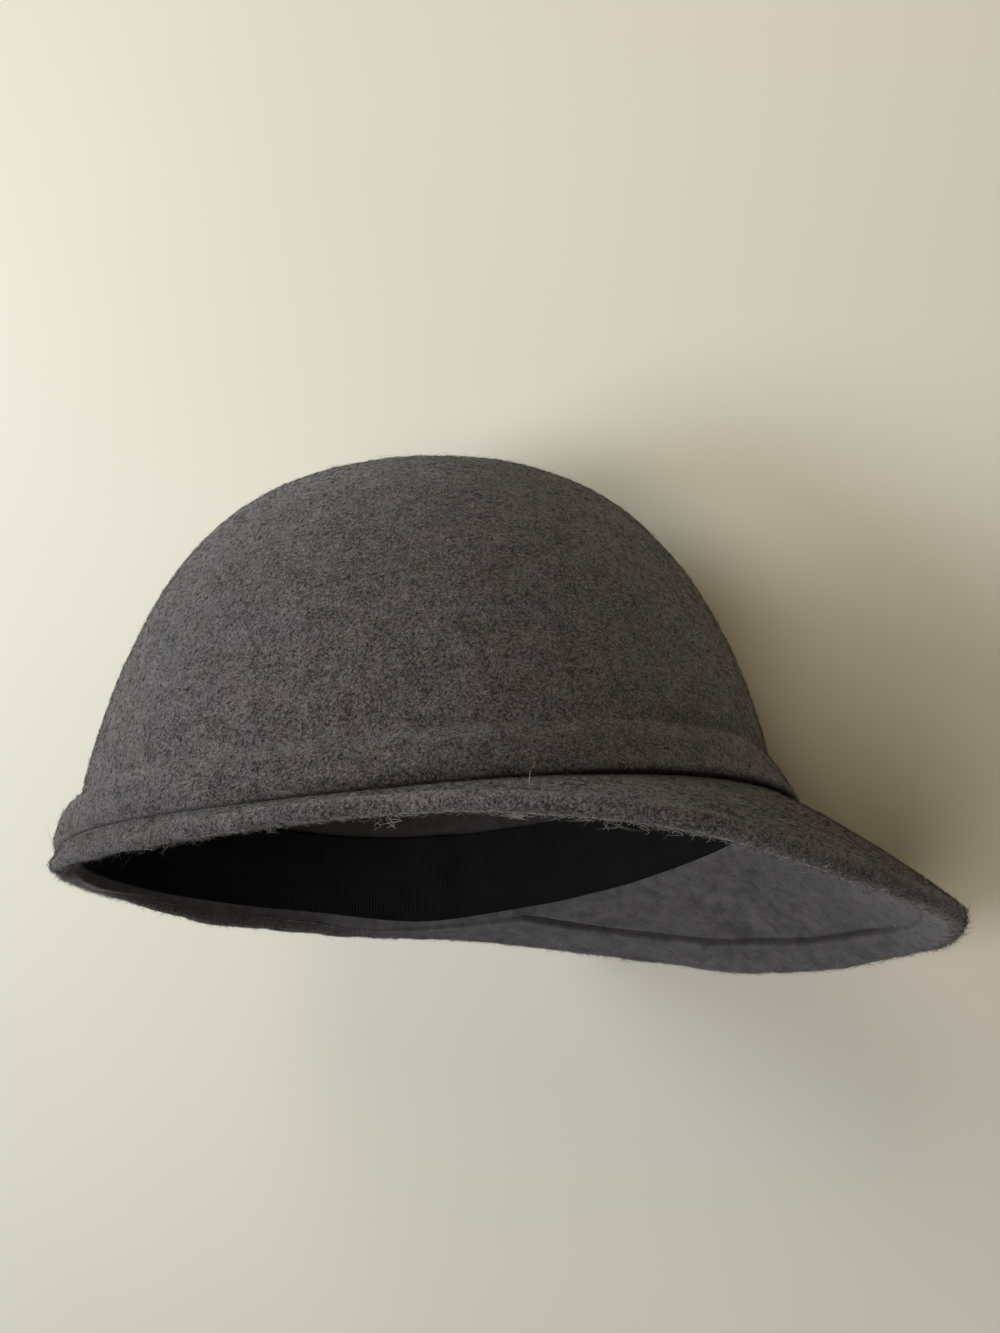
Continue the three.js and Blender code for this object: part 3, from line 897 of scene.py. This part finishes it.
def near_seam(deg, share, off):
    """A point over the brim's upper face (share 0 at the seam to 1 at its edge) or over the band (share below 0)."""
    th = np.array([math.radians(deg)])
    if share < 0:
        return place(th, *crown_at(th, -share, -off))[0]
    a = np.array([fold_out(th)[0] - 1.3, fold_up(th)[0] - 0.5])
    c = np.array([track(RIM, "out", th)[0], track(RIM, "up", th)[0]])
    d = (c - a) / np.linalg.norm(c - a)
    up = np.array([-d[1], d[0]])
    q = a + (c + up * FOLD_R - a) * share + up * off
    return place(th, q[:1], q[1:])[0]


def at_edge(deg, turn, off):
    """A point off the rolled edge; turn is 90 on its upper face, 0 at the tip, -90 below."""
    th = np.array([math.radians(deg)])
    a = np.array([fold_out(th)[0] - 1.3, fold_up(th)[0] - 0.5])
    c = np.array([track(RIM, "out", th)[0], track(RIM, "up", th)[0]])
    d = (c - a) / np.linalg.norm(c - a)
    up = np.array([-d[1], d[0]])
    k = math.radians(turn)
    q = c + (d * math.cos(k) + up * math.sin(k)) * (FOLD_R + off)
    return place(th, q[:1], q[1:])[0]


def hairs(name, paths, fat, tone, material):
    """Single long hairs: closed tubes through smooth paths, pointed at both ends."""
    verts, faces, tones = [], [], []
    for path, width, shade in zip(paths, fat, tone):
        path = np.asarray(path)
        t = np.linspace(0, len(path) - 1, 3 * (len(path) - 1) + 1)
        i = np.clip(t.astype(int), 0, len(path) - 2)
        u = (t - i)[:, None]
        full = np.vstack([2 * path[0] - path[1], path, 2 * path[-1] - path[-2]])
        p0, p1, p2, p3 = full[i], full[i + 1], full[i + 2], full[i + 3]
        line = 0.5 * (2 * p1 + (p2 - p0) * u + (2 * p0 - 5 * p1 + 4 * p2 - p3) * u**2 + (3 * p1 - p0 - 3 * p2 + p3) * u**3)
        line = line - DOWN * sunk(line)[:, None]
        go = np.gradient(line, axis=0)
        go /= np.linalg.norm(go, axis=1, keepdims=True)
        side = np.cross(go, np.array([0.31, 0.52, 0.80]))
        side /= np.linalg.norm(side, axis=1, keepdims=True)
        over = np.cross(go, side)
        size = width / 2 * (1 - 0.75 * np.abs(np.linspace(-1, 1, len(line))) ** 3)
        base = sum(len(v) for v in verts)
        rings = [
            line + (side * math.cos(a) + over * math.sin(a)) * size[:, None]
            for a in (0, TAU / 4, TAU / 2, TAU * 3 / 4)
        ]
        grid = np.stack(rings, 1)
        n = len(line)
        flat = grid.reshape(-1, 3)
        verts.append(flat - DOWN * sunk(flat)[:, None])
        for r in range(n - 1):
            for q in range(4):
                a, b = r * 4 + q, r * 4 + (q + 1) % 4
                faces += [(base + a, base + b, base + b + 4), (base + a, base + b + 4, base + a + 4)]
        last = base + (n - 1) * 4
        faces += [(base, base + 2, base + 1), (base, base + 3, base + 2), (last, last + 1, last + 2), (last, last + 2, last + 3)]
        tones += [shade] * (n * 4)
    obj = make_object(name, to_row(np.concatenate(verts)), faces, {"tone": tones})
    obj.data.materials.append(material)
    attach(obj, "root")
    return obj


hair_rng = np.random.default_rng(77)
paths, fat, tone = [], [], []
# one long hair that stands off the seam, and one that curls under the rim at the back
paths.append([near_seam(-71.0, 0.80, 0.5), near_seam(-69.8, 0.50, 0.9), near_seam(-68.2, 0.22, 1.2), near_seam(-66.8, 0.02, 1.5), near_seam(-66.2, -0.14, 1.4)])
fat.append(0.17)
tone.append(0.85)
paths.append(
    [at_edge(-146, -50, 0.1), at_edge(-142.5, -56, 0.25), at_edge(-139, -60, 0.4), at_edge(-136, -62, 0.8), at_edge(-133.5, -64, 1.5), at_edge(-131.6, -66, 2.3), at_edge(-130.4, -66, 3.1)]
)
fat.append(0.34)
tone.append(1.0)
# small tufts that hang from the rim
for deg, count, reach in ((-86.2, 8, 2.3), (-65.3, 8, 1.8), (-73.0, 14, 1.1), (-103.0, 5, 1.4), (-119.0, 5, 1.5), (-59.5, 5, 1.3), (64.0, 5, 1.5)):
    for _ in range(count):
        d0 = deg + 0.7 * hair_rng.normal()
        wave = hair_rng.normal(size=3)
        long = reach * (0.5 + 0.8 * hair_rng.random())
        paths.append(
            [
                at_edge(d0, -58, -0.1),
                at_edge(d0 + 0.25 * wave[0], -74, 0.35 * long),
                at_edge(d0 + 0.55 * wave[1], -80 - 4 * wave[2], 0.7 * long),
                at_edge(d0 + 0.9 * wave[2], -84 - 6 * wave[0], long),
            ]
        )
        fat.append(0.07 + 0.05 * hair_rng.random())
        tone.append(0.3 + 0.7 * hair_rng.random())
# longer loose hairs that lie over the felt
for _ in range(150):
    d0 = -180 + 360 * hair_rng.random()
    s0 = 0.4 + 2.2 * hair_rng.random() ** 1.2
    wave = hair_rng.normal(size=(4, 2))
    step = 0.9 + 1.1 * hair_rng.random()
    head = hair_rng.random() * TAU
    points = []
    dd, ss = d0, s0
    for k in range(5):
        th = np.array([math.radians(dd)])
        points.append(place(th, *crown_at(th, min(max(ss, 0.2), 2.7), -(0.10 + 0.35 * math.sin(k / 4 * math.pi) * hair_rng.random())))[0])
        head += 0.7 * wave[k % 4][0]
        dd += step * math.cos(head) * 0.8
        ss += step * math.sin(head) * 0.016
    paths.append(points)
    fat.append(0.06 + 0.05 * hair_rng.random())
    tone.append(0.45 + 0.55 * hair_rng.random())
for _ in range(70):
    d0 = -180 + 360 * hair_rng.random()
    k0 = 0.15 + 0.7 * hair_rng.random()
    head = hair_rng.random() * TAU
    points = []
    for k in range(5):
        points.append(near_seam(d0, min(max(k0, 0.05), 0.97), 0.10 + 0.4 * math.sin(k / 4 * math.pi) * hair_rng.random()))
        head += 0.9 * hair_rng.normal()
        d0 += 0.75 * math.cos(head)
        k0 += 0.045 * math.sin(head)
    paths.append(points)
    fat.append(0.06 + 0.05 * hair_rng.random())
    tone.append(0.45 + 0.55 * hair_rng.random())
hairs("stray_hairs", paths, fat, tone, fibre_material("stray_hair", (0.05, 0.048, 0.047), (0.42, 0.40, 0.38)))


# ---------------------------------------------------------- camera and stage
CAMERA_AT = np.array([46.976718, -304.044684, -66.5795428])
PITCH, YAW, ROLL = 0.390505253, -0.075646158, -0.0646158967
FOCAL_PX = 1040.0

base = np.array([[1.0, 0, 0], [0, 0, 1], [0, 1, 0]])
cr, sr = math.cos(ROLL), math.sin(ROLL)
cy, sy = math.cos(YAW), math.sin(YAW)
cp, sp = math.cos(PITCH), math.sin(PITCH)
roll_m = np.array([[cr, sr, 0], [-sr, cr, 0], [0, 0, 1]])
pitch_m = np.array([[1, 0, 0], [0, cp, -sp], [0, sp, cp]])
yaw_m = np.array([[cy, 0, -sy], [0, 1, 0], [sy, 0, cy]])
view = roll_m @ pitch_m @ yaw_m @ base          # rows: right, up, forward
right, upward, forward = (LAY @ row for row in view)
spot = to_row(CAMERA_AT)

camera_data = bpy.data.cameras.new("camera")
camera_data.sensor_fit = "AUTO"
camera_data.sensor_width = 36.0
camera_data.lens = 36.0 * FOCAL_PX / 1333.0
camera_data.clip_start = 0.01
camera_data.clip_end = 50.0
camera = bpy.data.objects.new("camera", camera_data)
camera.matrix_world = Matrix(
    [
        [right[0], upward[0], -forward[0], spot[0]],
        [right[1], upward[1], -forward[1], spot[1]],
        [right[2], upward[2], -forward[2], spot[2]],
        [0, 0, 0, 1],
    ]
)
bpy.context.scene.collection.objects.link(camera)
bpy.context.scene.camera = camera


def floor_material():
    n = Nodes("pale_table")
    where = n.mm()
    cloud = n.noise(where, 0.004, 2.0, 0.5, 0.0, shift=5.0)
    colour = n.mix(n.remap(cloud, 0.3, 0.7), (0.70, 0.665, 0.60), (0.73, 0.69, 0.62))
    shader = n.new("ShaderNodeBsdfPrincipled")
    shader.inputs["Roughness"].default_value = 0.6
    shader.inputs["Specular IOR Level"].default_value = 0.2
    n.link(colour, shader.inputs["Base Color"])
    out = n.new("ShaderNodeOutputMaterial")
    n.link(shader.outputs[0], out.inputs["Surface"])
    return n.mat


floor = make_object(
    "floor",
    [(-4, -4, 0), (4, -4, 0), (4, 4, 0), (-4, 4, 0)],
    [(0, 1, 2, 3)],
)
floor.location.z = -0.0002
floor.data.materials.append(floor_material())


def soft_light(name, at, aim, size, watts, colour):
    data = bpy.data.lights.new(name, "AREA")
    data.shape = "DISK"
    data.size = size
    data.energy = watts
    data.color = colour
    obj = bpy.data.objects.new(name, data)
    obj.location = at
    direction = Vector(aim) - Vector(at)
    obj.rotation_euler = direction.to_track_quat("-Z", "Y").to_euler()
    bpy.context.scene.collection.objects.link(obj)
    return obj


soft_light("window", (-0.8, 0.0, 1.0), (0, 0, 0.05), 0.5, 6.9, (0.92, 0.94, 1.0))
soft_light("side", (-1.2, 0.5, 0.5), (0, 0, 0.05), 0.6, 11.0, (0.88, 1.0, 0.99))
soft_light("back", (0.0, 1.0, 0.9), (0, 0, 0.05), 0.6, 4.1, (1.0, 0.83, 0.53))
soft_light("top", (0.0, 0.1, 1.5), (0, 0, 0.05), 0.7, 6.2, (1.0, 0.95, 0.80))

world = bpy.data.worlds.new("room")
world.use_nodes = True
world.node_tree.nodes["Background"].inputs["Color"].default_value = (0.80, 0.77, 0.74, 1.0)
world.node_tree.nodes["Background"].inputs["Strength"].default_value = 0.03
bpy.context.scene.world = world
bpy.context.scene.view_settings.view_transform = "Standard"
